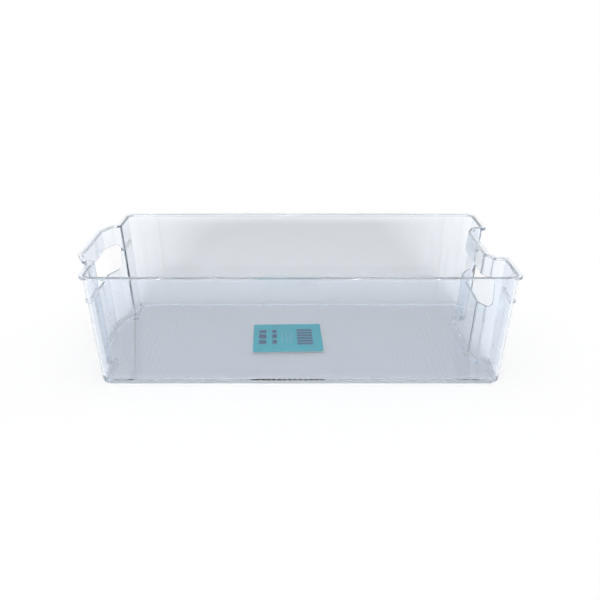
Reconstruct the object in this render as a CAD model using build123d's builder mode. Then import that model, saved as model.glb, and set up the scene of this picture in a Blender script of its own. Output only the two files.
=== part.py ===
from build123d import *
import os
from math import floor, radians, tan

# A clear fridge organizer bin. It is one open-top moulding, longest along X, with its front at -Y.
# Its left end wall steps outward in a bay and its right end wall steps inward in a recess, both from
# rim to floor, and a hand hole is cut through each. A paper label is stuck on the floor inside.
# Millimetres, +Z up. The origin is under the middle of the whole bin, on the surface it stands on.

# Driving sizes of the bin, over the outside of its walls at the rim
height = 100.0
length = 360.0
width = 200.0
wall = 2.2
floor_thickness = 2.4
end_draft = 4.6
side_draft = 3.2
flank_draft = 0.6
corner_radius = 10.0
base_round = 3.2
floor_round = 1.8

# Rim flange, which turns outward all round
flange_reach = 2.5
flange_thickness = 2.4
rim_round = 0.8
flange_under_round = 0.5

# Bay at the left end: a flank straight out, a slanted shoulder and a flat face
bay_reach = 15.0
bay_step = 6.5
bay_root_width = 113.0
bay_face_width = 74.0
bay_shoulder_radius = 4.6
bay_face_radius = 8.0

# Recess at the right end: the same turned inward
recess_depth = 15.0
recess_step = 9.5
recess_mouth_width = 95.0
recess_face_width = 71.0
recess_mouth_radius = 4.6
recess_root_radius = 3.0
recess_face_radius = 6.0

# Least radius of a crease, where a flank meets the end wall
crease_radius = 0.8

# Hand holes, one under the rim band of each end, stopping a margin short of the flanks' roundings
band_height = 19.0
hole_height = 26.0
hole_margin = 0.8
hole_corner_radius = 5.0
hole_edge_round = 0.4

# Short ridges on the plain stretches of the end walls, flat on top and slanted below
ridge_drop = 24.0
ridge_height = 4.6
ridge_reach = 2.5
ridge_lip = 2.2
ridge_end_gap = 2.0
ridge_round = 0.3

# Foot rim round the edge of the underside, which carries the floor clear of the shelf
foot_height = 2.5
foot_width = 3.0
foot_corner_radius = 2.0

# Fine ribs on the floor inside, left between shallow grooves that run front to back
rib_pitch = 5.0
rib_groove_width = 2.5
rib_groove_depth = 0.2
rib_border = 3.0

# Label on the floor inside, placed from the middle of the bin's main body
label_length = 66.0
label_width = 66.0
label_thickness = 0.15
label_corner_radius = 2.5
label_offset_x = -12.5
label_offset_y = -3.5
label_turn = 2.0

# Middle of the main body: the bay reaches past one end only
body_x = bay_reach / 2
# Level of the floor inside, at the tops of its ribs
floor_top = foot_height + floor_thickness

CONVEX = 1
CONCAVE = -1
# Share of a corner's radius that a rounding along the same edge may take
TIGHT_SHARE = 0.75


def drawn_in(angle, z):
    """How far a wall with this draft has moved inward, from the rim down to height z."""
    return tan(radians(angle)) * (height - z)


def half_length(z):
    return length / 2 - drawn_in(end_draft, z)


def half_width(z):
    return width / 2 - drawn_in(side_draft, z)


def outside_corners(z):
    """Sharp corners of the bin's outside at height z, anticlockwise, each with its radius and turn."""
    right = body_x + half_length(z)
    left = body_x - half_length(z)
    back = half_width(z)
    flank = drawn_in(flank_draft, z)
    mouth = recess_mouth_width / 2 + flank
    recess_face = recess_face_width / 2 + flank
    root = bay_root_width / 2 - flank
    bay_face = bay_face_width / 2 - flank
    right_end = [
        (right, mouth, recess_mouth_radius, CONVEX),
        (right - recess_step, mouth, recess_root_radius, CONCAVE),
        (right - recess_depth, recess_face, recess_face_radius, CONCAVE),
    ]
    left_end = [
        (left, root, crease_radius, CONCAVE),
        (left - bay_step, root, bay_shoulder_radius, CONVEX),
        (left - bay_reach, bay_face, bay_face_radius, CONVEX),
    ]
    front_of = lambda corners: [(x, -y, radius, turn) for x, y, radius, turn in corners]
    return (
        [(left, -back, corner_radius, CONVEX), (right, -back, corner_radius, CONVEX)]
        + front_of(right_end)
        + right_end[::-1]
        + [(right, back, corner_radius, CONVEX), (left, back, corner_radius, CONVEX)]
        + left_end
        + front_of(left_end)[::-1]
    )


def crossing(point_a, along_a, point_b, along_b):
    """Where two lines in the plan meet."""
    gap = point_b - point_a
    share = gap.cross(along_b).Z / along_a.cross(along_b).Z
    return point_a + along_a * share


def outline(z, inset=0.0):
    """Points and radii of the bin's plan at height z, moved inward from its outside by inset."""
    corners = outside_corners(z)
    points = [Vector(x, y) for x, y, radius, turn in corners]
    count = len(points)
    along = [(points[(i + 1) % count] - points[i]).normalized() for i in range(count)]
    start = [points[i] + Vector(-along[i].Y, along[i].X) * inset for i in range(count)]
    moved = [crossing(start[i - 1], along[i - 1], start[i], along[i]) for i in range(count)]
    grow = [-turn * max(inset, 0) if turn == CONVEX else -turn * inset for x, y, radius, turn in corners]
    radii = [max(crease_radius, corner[2] + change) for corner, change in zip(corners, grow)]
    return [(point.X, point.Y) for point in moved], radii


def plan_face(z, inset=0.0):
    """Sketch of the bin's plan at height z, to be lofted or extruded."""
    points, radii = outline(z, inset)
    with BuildSketch(Plane.XY.offset(z)) as plan:
        with BuildLine():
            FilletPolyline(*points, radius=radii, close=True)
        make_face()
    return plan.sketch


# Roundings along the foot of the walls, limited by the tightest corner that they run through
tightest_corner = min(bay_shoulder_radius, recess_mouth_radius)
inside_round = min(floor_round, TIGHT_SHARE * (tightest_corner - wall))
outside_round = min(base_round, TIGHT_SHARE * tightest_corner)

# Space inside the bin, carried past the rim so that the cut leaves it open
with BuildPart() as inside:
    loft([plan_face(floor_top, wall), plan_face(height + wall, wall)], ruled=True)
    fillet(inside.edges().group_by(Axis.Z)[0], inside_round)

# The moulding: drafted block, rim flange, hollow, hand holes, ridges, foot rim and ribbed floor
with BuildPart() as bin_body:
    loft([plan_face(0), plan_face(height)], ruled=True)
    fillet(bin_body.edges().group_by(Axis.Z)[0], outside_round)

    add(plan_face(height, -flange_reach))
    extrude(amount=-flange_thickness)
    add(inside.part, mode=Mode.SUBTRACT)
    rim_face = bin_body.faces().sort_by(Axis.Z)[-1]
    fillet(rim_face.edges(), rim_round)
    flange_under = height - flange_thickness
    under_face = bin_body.faces().sort_by(lambda face: abs(face.center().Z - flange_under))[0]
    fillet(under_face.outer_wire().edges(), flange_under_round)

    hole_top = height - band_height
    hole_bottom = hole_top - hole_height
    bay_side = body_x - half_length(hole_top) - crease_radius - hole_margin
    recess_side = body_x + half_length(hole_bottom) - recess_mouth_radius - hole_margin
    hand_holes = ((bay_side, bay_reach, bay_root_width), (recess_side, recess_depth, recess_mouth_width))
    for hole_side, reach, span in hand_holes:
        with BuildSketch(Plane.XZ):
            with Locations((hole_side, hole_bottom)):
                RectangleRounded(
                    2 * (reach + wall), hole_height, hole_corner_radius, align=(Align.MAX, Align.MIN)
                )
        extrude(amount=span / 2 + 2 * wall, both=True, mode=Mode.SUBTRACT)
        fillet(bin_body.edges(Select.LAST), hole_edge_round)

    ridge_top = height - ridge_drop
    ridge_far = width / 2 - corner_radius - ridge_end_gap
    ridge_ends = ((-1, bay_root_width / 2), (1, recess_mouth_width / 2 + recess_mouth_radius))
    for end, post_start in ridge_ends:
        ridge_near = post_start + ridge_end_gap
        face_x = half_length(ridge_top)
        for side in (-1, 1):
            with BuildSketch(Plane.XZ.offset(side * ridge_near)):
                with BuildLine():
                    Polyline(
                        (body_x + end * (face_x - wall / 2), ridge_top),
                        (body_x + end * (face_x + ridge_reach), ridge_top),
                        (body_x + end * (face_x + ridge_reach), ridge_top - ridge_lip),
                        (body_x + end * (face_x - wall / 2), ridge_top - ridge_height),
                        close=True,
                    )
                ridge_face = make_face()
                fillet(ridge_face.vertices().sort_by(Axis.X)[::-end][:2], ridge_round)
            extrude(amount=side * (ridge_far - ridge_near))

    foot_points = outline(0, outside_round + foot_width)[0]
    with BuildSketch(Plane.XY):
        with BuildLine():
            FilletPolyline(*foot_points, radius=foot_corner_radius, close=True)
        make_face()
    extrude(amount=foot_height, mode=Mode.SUBTRACT)

    rib_inset = wall + inside_round + rib_border
    rib_left = body_x - half_length(floor_top) + rib_inset
    rib_right = body_x + half_length(floor_top) - recess_depth - rib_inset
    rib_count = floor((rib_right - rib_left - rib_groove_width) / rib_pitch) + 1
    with BuildSketch(Plane.XY.offset(floor_top)):
        with Locations(((rib_left + rib_right) / 2, 0)):
            with GridLocations(rib_pitch, 0, rib_count, 1):
                SlotOverall(2 * (half_width(floor_top) - rib_inset), rib_groove_width, rotation=90)
    extrude(amount=-rib_groove_depth, mode=Mode.SUBTRACT)

# Paper label, lying on the ribs of the floor inside
label_plane = Plane((body_x + label_offset_x, label_offset_y, floor_top)).rotated((0, 0, label_turn))
with BuildPart() as floor_label:
    with BuildSketch(label_plane):
        RectangleRounded(label_length, label_width, label_corner_radius)
    extrude(amount=label_thickness)

bin_body.part.label = "bin_body"
floor_label.part.label = "floor_label"

os.makedirs("parts", exist_ok=True)
export_step(bin_body.part, "parts/bin_body.step")
export_step(floor_label.part, "parts/floor_label.step")
print("floor grooves:", rib_count)
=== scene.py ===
# %% [markdown]
# # A clear fridge bin in a white studio
#
# The real object is one clear moulding with a paper label stuck on its floor. Its shape is already
# finished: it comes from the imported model, in metres, with the bin standing on z = 0 and its front
# at -Y. What is left for Blender is how it looks. Clear plastic is hard to show, because nearly all
# that is seen of it is what lies behind it, so this lesson spends its time on three things: the
# studio, the plastic and the print of the label.

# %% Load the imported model
import math

import bpy
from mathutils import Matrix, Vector


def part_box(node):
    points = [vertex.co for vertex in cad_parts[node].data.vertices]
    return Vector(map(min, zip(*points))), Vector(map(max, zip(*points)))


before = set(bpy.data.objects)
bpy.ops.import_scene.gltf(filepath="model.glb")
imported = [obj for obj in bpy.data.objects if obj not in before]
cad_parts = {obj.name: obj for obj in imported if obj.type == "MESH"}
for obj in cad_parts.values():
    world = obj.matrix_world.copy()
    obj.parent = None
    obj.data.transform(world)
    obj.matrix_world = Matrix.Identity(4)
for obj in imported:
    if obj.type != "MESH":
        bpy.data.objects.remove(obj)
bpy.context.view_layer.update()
bin_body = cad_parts["bin_body"]
floor_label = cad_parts["floor_label"]

# %% [markdown]
# ## The camera
#
# The photograph was taken from straight in front, a little above the rim. A camera could be placed by
# eye, but the bin's straight edges give better clues: the places of its corners fix the height, the
# tilt and the distance for one focal length. The focal length is written in pixels of the photograph
# and turned into a lens, so that it can be compared with distances measured there.

# %% Camera
PHOTO_WIDTH_PIXELS = 600
FOCAL_LENGTH_PIXELS = 800
SENSOR_WIDTH_MM = 36.0
CAMERA_PLACE = Vector((0.0070, -0.7128, 0.3160))
CAMERA_TILT_DEGREES = 21.02

camera_data = bpy.data.cameras.new("photo_camera")
camera_data.sensor_width = SENSOR_WIDTH_MM
camera_data.lens = SENSOR_WIDTH_MM * FOCAL_LENGTH_PIXELS / PHOTO_WIDTH_PIXELS
camera = bpy.data.objects.new("photo_camera", camera_data)
camera.location = CAMERA_PLACE
camera.rotation_euler = (math.radians(90 - CAMERA_TILT_DEGREES), 0, 0)
bpy.context.scene.collection.objects.link(camera)
bpy.context.scene.camera = camera
print("camera lens", camera_data.lens, "mm, height", CAMERA_PLACE.z, "m")

# %% [markdown]
# ## Small helpers for node trees
#
# Every finish below is a tree of shader nodes. Making a node takes a line, and each of its settings
# and links another, so a few helpers keep the cells short. One adds a node and sets or links its inputs,
# one does a step of arithmetic and hands back the result's socket, one starts an empty material, and one
# puts a material on a piece.

# %% Node helpers
def add_node(tree, kind, inputs=None, **properties):
    """Adds a node, sets its properties, and sets or links its inputs by name or number."""
    node = tree.nodes.new(kind)
    for name, value in properties.items():
        setattr(node, name, value)
    for name, value in (inputs or {}).items():
        if isinstance(value, bpy.types.NodeSocket):
            tree.links.new(value, node.inputs[name])
        else:
            node.inputs[name].default_value = value
    return node


def reckon(tree, operation, first, second):
    """One step of arithmetic on two sockets or numbers. Hands back the socket with the result."""
    return add_node(tree, "ShaderNodeMath", {0: first, 1: second}, operation=operation).outputs[0]


def new_material(name):
    """An empty material: its tree and its output node come back with it."""
    material = bpy.data.materials.new(name)
    material.use_nodes = True
    material.node_tree.nodes.clear()
    return material, material.node_tree, material.node_tree.nodes.new("ShaderNodeOutputMaterial")


def dress(piece, material):
    """Puts one material on every face of a piece."""
    piece.data.materials.clear()
    piece.data.materials.append(material)


print("node helpers ready")

# %% [markdown]
# ## The studio
#
# The photograph's ground is white. A floor lit until it burns out would also burn the pale plastic, so
# the floor is pale paint, which takes the bin's shadow, with a little glow of its own. The glow is there
# only for what looks at the floor: the camera, and the rays that the clear plastic reflects and lets
# through. Together they come to white, and nothing else is lit by the glow. The floor lies a hair under
# the bin, because two faces at the same height would fight over which of them is seen.

# %% Floor
FLOOR_HALF_SIZE = 40.0
FLOOR_PAINT = (0.78, 0.78, 0.78, 1)
FLOOR_GLOW = 0.19
FLOOR_GAP = 0.0002


def looked_at(tree):
    """A mask that is 1 for rays from the camera or by way of clear plastic, and 0 for all others."""
    rays = add_node(tree, "ShaderNodeLightPath").outputs
    by_plastic = reckon(tree, "MAXIMUM", rays["Is Glossy Ray"], rays["Is Transmission Ray"])
    return reckon(tree, "MAXIMUM", rays["Is Camera Ray"], by_plastic)


floor_mesh = bpy.data.meshes.new("studio_floor")
corner_signs = ((-1, -1), (1, -1), (1, 1), (-1, 1))
floor_corners = [(x * FLOOR_HALF_SIZE, y * FLOOR_HALF_SIZE, -FLOOR_GAP) for x, y in corner_signs]
floor_mesh.from_pydata(floor_corners, [], [(0, 1, 2, 3)])
studio_floor = bpy.data.objects.new("studio_floor", floor_mesh)
bpy.context.scene.collection.objects.link(studio_floor)

floor_paint, tree, output = new_material("floor_paint")
glow_seen = reckon(tree, "MULTIPLY", looked_at(tree), FLOOR_GLOW)
glow = add_node(tree, "ShaderNodeEmission", {"Strength": glow_seen})
paint = add_node(tree, "ShaderNodeBsdfDiffuse", {"Color": FLOOR_PAINT})
both = add_node(tree, "ShaderNodeAddShader", {0: paint.outputs[0], 1: glow.outputs[0]})
tree.links.new(both.outputs[0], output.inputs["Surface"])
dress(studio_floor, floor_paint)
print("floor", 2 * FLOOR_HALF_SIZE, "m square")

# %% [markdown]
# ## The light tent
#
# A light tent is the usual way to photograph clear things: pale all round, a little darker overhead,
# so that the rounded edges, which gather light from above, draw themselves as darker lines. It could be
# built from sheets with lamps behind them, but the world does the same with one gradient. Where it is
# looked at, it is white at the horizon, so that it joins the floor without a seam.

# %% Light tent
HORIZON_LIGHT = 0.65
OVERHEAD_LIGHT = 0.55
TENT_WHITE = (1, 1, 1, 1)

world = bpy.data.worlds.new("light_tent")
bpy.context.scene.world = world
world.use_nodes = True
tree = world.node_tree
tree.nodes.clear()
direction = add_node(tree, "ShaderNodeTexCoord").outputs["Generated"]
upward = add_node(tree, "ShaderNodeSeparateXYZ", {0: direction}).outputs["Z"]
horizon = reckon(tree, "MAXIMUM", looked_at(tree), HORIZON_LIGHT)
brightness = add_node(
    tree,
    "ShaderNodeMapRange",
    {"Value": upward, "To Min": horizon, "To Max": OVERHEAD_LIGHT},
    interpolation_type="SMOOTHSTEP",
)
tent = add_node(
    tree, "ShaderNodeBackground", {"Color": TENT_WHITE, "Strength": brightness.outputs["Result"]}
)
output = tree.nodes.new("ShaderNodeOutputWorld")
tree.links.new(tent.outputs[0], output.inputs["Surface"])
bpy.context.scene.view_settings.view_transform = "Standard"
print("light tent from", HORIZON_LIGHT, "at the horizon to", OVERHEAD_LIGHT, "overhead")

# %% [markdown]
# ## The lamps
#
# On a white ground clear plastic shows its walls by what they darken, so something grey has to stand
# behind them. The bin's own shadow does that: it falls behind the bin, which hides it from the camera, and
# the walls let it show. One lamp low on the camera's side would cast a shadow with straight sides, and these
# would be seen through the back wall. A row of lamps, like one wide soft box, spreads the sides out. The
# lamps' light isn't carried on through the plastic, so the shadow is a full one.

# %% Lamps
LAMP_COUNT = 5
LAMP_STRENGTH = 1.10
LAMP_ANGLE_DEGREES = 4
LAMP_HEIGHT_DEGREES = 15.5
LAMP_SPACING_DEGREES = 5

lamp_data = bpy.data.lights.new("soft_lamp", "SUN")
lamp_data.energy = LAMP_STRENGTH
lamp_data.angle = math.radians(LAMP_ANGLE_DEGREES)
for number in range(LAMP_COUNT):
    swing = math.radians((number - (LAMP_COUNT - 1) / 2) * LAMP_SPACING_DEGREES)
    soft_lamp = bpy.data.objects.new("soft_lamp", lamp_data)
    soft_lamp.rotation_euler = (math.radians(90 - LAMP_HEIGHT_DEGREES), 0, swing)
    soft_lamp.visible_transmission = False
    bpy.context.scene.collection.objects.link(soft_lamp)
print(LAMP_COUNT, "lamps", LAMP_HEIGHT_DEGREES, "degrees up, on the camera's side")

# %% [markdown]
# ## Enough reflections
#
# A ray that goes in at the edge of a clear plate can run along inside it for its whole length, thrown
# back from one face to the other. Blender gives up after four reflections and leaves such a ray black,
# and then the rim, the creases and the foot of the walls are drawn as thick dark lines. Allowing more
# reflections costs little here, because only the rays at edges use them.

# %% Light bounces
LIGHT_BOUNCES = 48

light_paths = bpy.context.scene.cycles
light_paths.max_bounces = LIGHT_BOUNCES
light_paths.glossy_bounces = LIGHT_BOUNCES
light_paths.transmission_bounces = LIGHT_BOUNCES
print("up to", LIGHT_BOUNCES, "bounces of light")

# %% [markdown]
# ## Unevenness that plastic and paper share
#
# No moulding is perfectly flat and no paper perfectly smooth. On the bin it is a slow waviness of the
# polished walls and a haze of fine scuffs, on the label it is fibre and uneven ink. It could be a
# separate noise in each material, but they all want the same thing, a smooth grain of a stated size in
# millimetres. So it is one node group, placed wherever a grain is needed with its own size.

# %% Grain, a node group
GRAIN_DETAIL = 3.0


def build_grain():
    """A group that puts out a soft grain from 0 to 1, whose bumps are Grain Size across."""
    group = bpy.data.node_groups.new("grain", "ShaderNodeTree")
    group.interface.new_socket("Place", in_out="INPUT", socket_type="NodeSocketVector")
    group.interface.new_socket("Grain Size", in_out="INPUT", socket_type="NodeSocketFloat")
    group.interface.new_socket("Grain", in_out="OUTPUT", socket_type="NodeSocketFloat")
    given = group.nodes.new("NodeGroupInput")
    frequency = reckon(group, "DIVIDE", 1.0, given.outputs["Grain Size"])
    noise = add_node(
        group,
        "ShaderNodeTexNoise",
        {"Vector": given.outputs["Place"], "Scale": frequency, "Detail": GRAIN_DETAIL},
    )
    result = group.nodes.new("NodeGroupOutput")
    group.links.new(noise.outputs["Fac"], result.inputs["Grain"])
    return group


grain_group = build_grain()


def grain(tree, place, size):
    """Places the grain group in a material. Hands back the socket with its grain."""
    node = add_node(tree, "ShaderNodeGroup", {"Place": place, "Grain Size": size}, node_tree=grain_group)
    return node.outputs["Grain"]


print("grain group with", len(grain_group.nodes), "nodes")

# %% [markdown]
# ## A block, as a mask
#
# The ink on the label stands in plain blocks, stripes and rules. Each could be a thin plate of its own,
# but ink has no thickness to speak of: it is only a change of finish. One node group works out a mask
# instead: how far a point lies outside a block, turned into 1 on the block and 0 beside it, with an
# edge as soft as is asked for. It is built once and placed for every block, stripe and rule.

# %% Block mask, a node group
def build_block_mask():
    """A group with the mask of one upright block, from its middle and half its size in millimetres."""
    group = bpy.data.node_groups.new("block_mask", "ShaderNodeTree")
    for name in ("Place", "Middle", "Half Size"):
        group.interface.new_socket(name, in_out="INPUT", socket_type="NodeSocketVector")
    group.interface.new_socket("Soft Edge", in_out="INPUT", socket_type="NodeSocketFloat")
    group.interface.new_socket("Mask", in_out="OUTPUT", socket_type="NodeSocketFloat")
    given = group.nodes.new("NodeGroupInput")

    def vector_step(operation, *values):
        """One step of arithmetic on vectors. Hands back the socket with the result."""
        node = add_node(group, "ShaderNodeVectorMath", dict(enumerate(values)), operation=operation)
        return node.outputs[0]

    away = vector_step("SUBTRACT", given.outputs["Place"], given.outputs["Middle"])
    past = vector_step("SUBTRACT", vector_step("ABSOLUTE", away), given.outputs["Half Size"])
    parts = add_node(group, "ShaderNodeSeparateXYZ", {0: past})
    aside = reckon(group, "MAXIMUM", parts.outputs["X"], parts.outputs["Y"])
    outside = reckon(group, "MAXIMUM", aside, parts.outputs["Z"])
    softened = reckon(group, "DIVIDE", outside, given.outputs["Soft Edge"])
    mask = add_node(
        group,
        "ShaderNodeMapRange",
        {"Value": softened, "From Min": -1.0, "From Max": 1.0, "To Min": 1.0, "To Max": 0.0},
    )
    result = group.nodes.new("NodeGroupOutput")
    group.links.new(mask.outputs["Result"], result.inputs["Mask"])
    return group


block_mask_group = build_block_mask()


def block_mask(tree, place, middle, size, soft_edge):
    """Places one block in a material. Hands back the socket with its mask."""
    half_size = [side / 2 for side in size]
    node = add_node(
        tree,
        "ShaderNodeGroup",
        {"Place": place, "Middle": middle, "Half Size": half_size, "Soft Edge": soft_edge},
        node_tree=block_mask_group,
    )
    return node.outputs["Mask"]


print("block mask group with", len(block_mask_group.nodes), "nodes")

# %% [markdown]
# ## Scuffs and waves on the plastic
#
# A bin that has been handled has a haze of fine scuffs, and the walls of a thin moulding are never quite
# flat. Both could be dents in the mesh, but they are far smaller than its faces. Two grains do instead: a
# fine one that makes the surface a little rougher where it is strongest, and a slow one, a few hundredths
# of a millimetre high, that bends what is seen through the walls.

# %% Scuffs and waves
MM_PER_M = 1000.0
POLISHED_ROUGHNESS = 0.015
SCUFFED_ROUGHNESS = 0.06
SCUFF_SIZE_MM = 3.0
SCUFF_GRAIN = (0.45, 0.80)
WAVE_SIZE_MM = 28.0
WAVE_HEIGHT_MM = 0.03

clear_plastic, tree, output = new_material("clear_plastic")
place = add_node(tree, "ShaderNodeTexCoord").outputs["Object"]
to_mm = add_node(tree, "ShaderNodeVectorMath", {0: place, "Scale": MM_PER_M}, operation="SCALE")
place_mm = to_mm.outputs[0]
scuffs = add_node(
    tree,
    "ShaderNodeMapRange",
    {
        "Value": grain(tree, place_mm, SCUFF_SIZE_MM),
        "From Min": SCUFF_GRAIN[0],
        "From Max": SCUFF_GRAIN[1],
        "To Min": POLISHED_ROUGHNESS,
        "To Max": SCUFFED_ROUGHNESS,
    },
)
waves = add_node(
    tree,
    "ShaderNodeBump",
    {"Height": grain(tree, place_mm, WAVE_SIZE_MM), "Distance": WAVE_HEIGHT_MM / MM_PER_M},
)
print("scuffs", SCUFF_SIZE_MM, "mm and waves", WAVE_SIZE_MM, "mm across")

# %% [markdown]
# ## Clear plastic
#
# The bin is polished clear plastic with a faint blue-grey cast. The cast could come from plastic that
# takes light along its whole depth, but then the rim and the floor's edge, where light runs a long way
# inside the wall, turn nearly black. Real walls of this kind stay pale there, so most of the cast is given
# to the surface, where light pays once on the way in and once on the way out, and only a trace of blue is
# left to the depth.

# %% Clear plastic
PLASTIC_INDEX = 1.57
PLASTIC_CAST = (0.918, 0.952, 1.0, 1)
PLASTIC_CLEARNESS = 0.992
DEPTH_SHADE = (0.35, 0.62, 0.90, 1)
DEPTH_DENSITY = 2.0

surface = add_node(
    tree,
    "ShaderNodeBsdfPrincipled",
    {
        "Base Color": PLASTIC_CAST,
        "Roughness": scuffs.outputs["Result"],
        "IOR": PLASTIC_INDEX,
        "Transmission Weight": PLASTIC_CLEARNESS,
        "Normal": waves.outputs["Normal"],
    },
)
depth = add_node(tree, "ShaderNodeVolumeAbsorption", {"Color": DEPTH_SHADE, "Density": DEPTH_DENSITY})
tree.links.new(surface.outputs[0], output.inputs["Surface"])
tree.links.new(depth.outputs[0], output.inputs["Volume"])
dress(bin_body, clear_plastic)
print("plastic index", PLASTIC_INDEX, "cast", PLASTIC_CAST[:3])

# %% [markdown]
# ## The label's own place
#
# The label lies a little turned on the floor. Its print is laid out in the label's own millimetres, from
# its middle, with the first axis to the right and the second to the back. Unwrapping the sheet would do
# it too, but a texture mapping with the label's middle, turn and unit gives that place for every point
# without touching the mesh.

# %% Label paper and its place
LABEL_TURN_DEGREES = 2.0

label_low, label_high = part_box("floor_label")
label_middle = (label_low + label_high) / 2
label_paper, label_tree, label_output = new_material("label_paper")
label_place = add_node(
    label_tree,
    "ShaderNodeMapping",
    {
        "Vector": add_node(label_tree, "ShaderNodeTexCoord").outputs["Object"],
        "Location": label_middle,
        "Rotation": (0, 0, math.radians(LABEL_TURN_DEGREES)),
        "Scale": (1 / MM_PER_M,) * 3,
    },
    vector_type="TEXTURE",
).outputs[0]
print("label middle in metres", [round(v, 4) for v in label_middle])

# %% [markdown]
# ## The label's print
#
# The sheet is teal from edge to edge. On the left stand two columns of plain dark blocks, in the middle
# a few thin pale rules, and on the right a panel of even stripes. A picture could carry them, but a few
# blocks are soon placed by number. Each set is a loop over rows, and the strongest mask wins where blocks
# meet, so all the ink of one colour is one mask. Rows and columns are given by their middle and size.

# %% Print masks
BLOCK_ROWS_MM = ((15.0, 7.0), (3.5, 10.0), (-10.0, 9.0))
BLOCK_COLUMNS_MM = ((-24.0, 7.0), (-12.5, 4.5))
STRIPE_COUNT = 6
STRIPE_PITCH_MM = 6.4
STRIPE_SIZE_MM = (15.0, 4.6)
STRIPE_MIDDLE_MM = (16.5, 1.5)
RULE_PLACES_MM = (-5.0, -1.0, 3.0)
RULE_SIZE_MM = (0.9, 26.0)
INK_EDGE_MM = 0.15
INK_REACH_MM = 5.0


def printed_block(middle, size):
    """One block of print, which reaches through the thin sheet. Hands back the socket with its mask."""
    return block_mask(label_tree, label_place, (*middle, 0), (*size, INK_REACH_MM), INK_EDGE_MM)


def strongest(masks):
    """One mask out of many: the largest of them at each point."""
    joined = masks[0]
    for mask in masks[1:]:
        joined = reckon(label_tree, "MAXIMUM", joined, mask)
    return joined


dark_masks = []
for column_x, column_width in BLOCK_COLUMNS_MM:
    for row_y, row_depth in BLOCK_ROWS_MM:
        dark_masks.append(printed_block((column_x, row_y), (column_width, row_depth)))
for stripe in range(STRIPE_COUNT):
    stripe_y = STRIPE_MIDDLE_MM[1] + (stripe - (STRIPE_COUNT - 1) / 2) * STRIPE_PITCH_MM
    dark_masks.append(printed_block((STRIPE_MIDDLE_MM[0], stripe_y), STRIPE_SIZE_MM))
dark_ink = strongest(dark_masks)
rules = strongest([printed_block((rule_x, 0.0), RULE_SIZE_MM) for rule_x in RULE_PLACES_MM])
print(len(dark_masks), "dark blocks and", len(RULE_PLACES_MM), "rules")

# %% [markdown]
# ## The label's finish
#
# Printed label stock is paper with a satin face: the ink lies a little unevenly over the fibres, and the
# fibres stand out as a fine grain when light grazes them. One grain serves for all of it: it thins the
# ink, changes the gloss and lifts the surface, so that the three agree. The ink stops at the face. The cut
# edges and the underside, which is seen from below through the floor, are bare white paper.

# %% Label finish
TEAL_INK = (0.006, 0.39, 0.48, 1)
THIN_TEAL_INK = (0.015, 0.45, 0.54, 1)
DARK_INK = (0.0, 0.05, 0.16, 1)
RULE_INK = (0.20, 0.46, 0.55, 1)
BARE_PAPER = (0.86, 0.87, 0.86, 1)
FIBRE_SIZE_MM = 0.7
FIBRE_HEIGHT_MM = 0.02
SATIN_ROUGHNESS = (0.45, 0.62)
SATIN_SHEEN_LEVEL = 0.15
FACE_UP = 0.5
MIX_SHARE, MIX_UNDER, MIX_OVER, MIX_COLOUR = 0, 6, 7, 2


def blend(share, under, over):
    """Lays one colour over another by a mask, with the mix's sockets for colour, which go by number."""
    inputs = {MIX_SHARE: share, MIX_UNDER: under, MIX_OVER: over}
    return add_node(label_tree, "ShaderNodeMix", inputs, data_type="RGBA").outputs[MIX_COLOUR]


fibres = grain(label_tree, label_place, FIBRE_SIZE_MM)
sheet = blend(fibres, TEAL_INK, THIN_TEAL_INK)
ruled = blend(rules, sheet, RULE_INK)
printed = blend(dark_ink, ruled, DARK_INK)
facing = add_node(label_tree, "ShaderNodeNewGeometry").outputs["True Normal"]
upward = add_node(label_tree, "ShaderNodeSeparateXYZ", {0: facing}).outputs["Z"]
printed_side = reckon(label_tree, "GREATER_THAN", upward, FACE_UP)
satin = add_node(
    label_tree,
    "ShaderNodeMapRange",
    {"Value": fibres, "To Min": SATIN_ROUGHNESS[0], "To Max": SATIN_ROUGHNESS[1]},
)
raised = add_node(
    label_tree, "ShaderNodeBump", {"Height": fibres, "Distance": FIBRE_HEIGHT_MM / MM_PER_M}
)
paper = add_node(
    label_tree,
    "ShaderNodeBsdfPrincipled",
    {
        "Base Color": blend(printed_side, BARE_PAPER, printed),
        "Roughness": satin.outputs["Result"],
        "Specular IOR Level": SATIN_SHEEN_LEVEL,
        "Normal": raised.outputs["Normal"],
    },
)
label_tree.links.new(paper.outputs[0], label_output.inputs["Surface"])
dress(floor_label, label_paper)
print("label", [round(v, 4) for v in label_high - label_low])
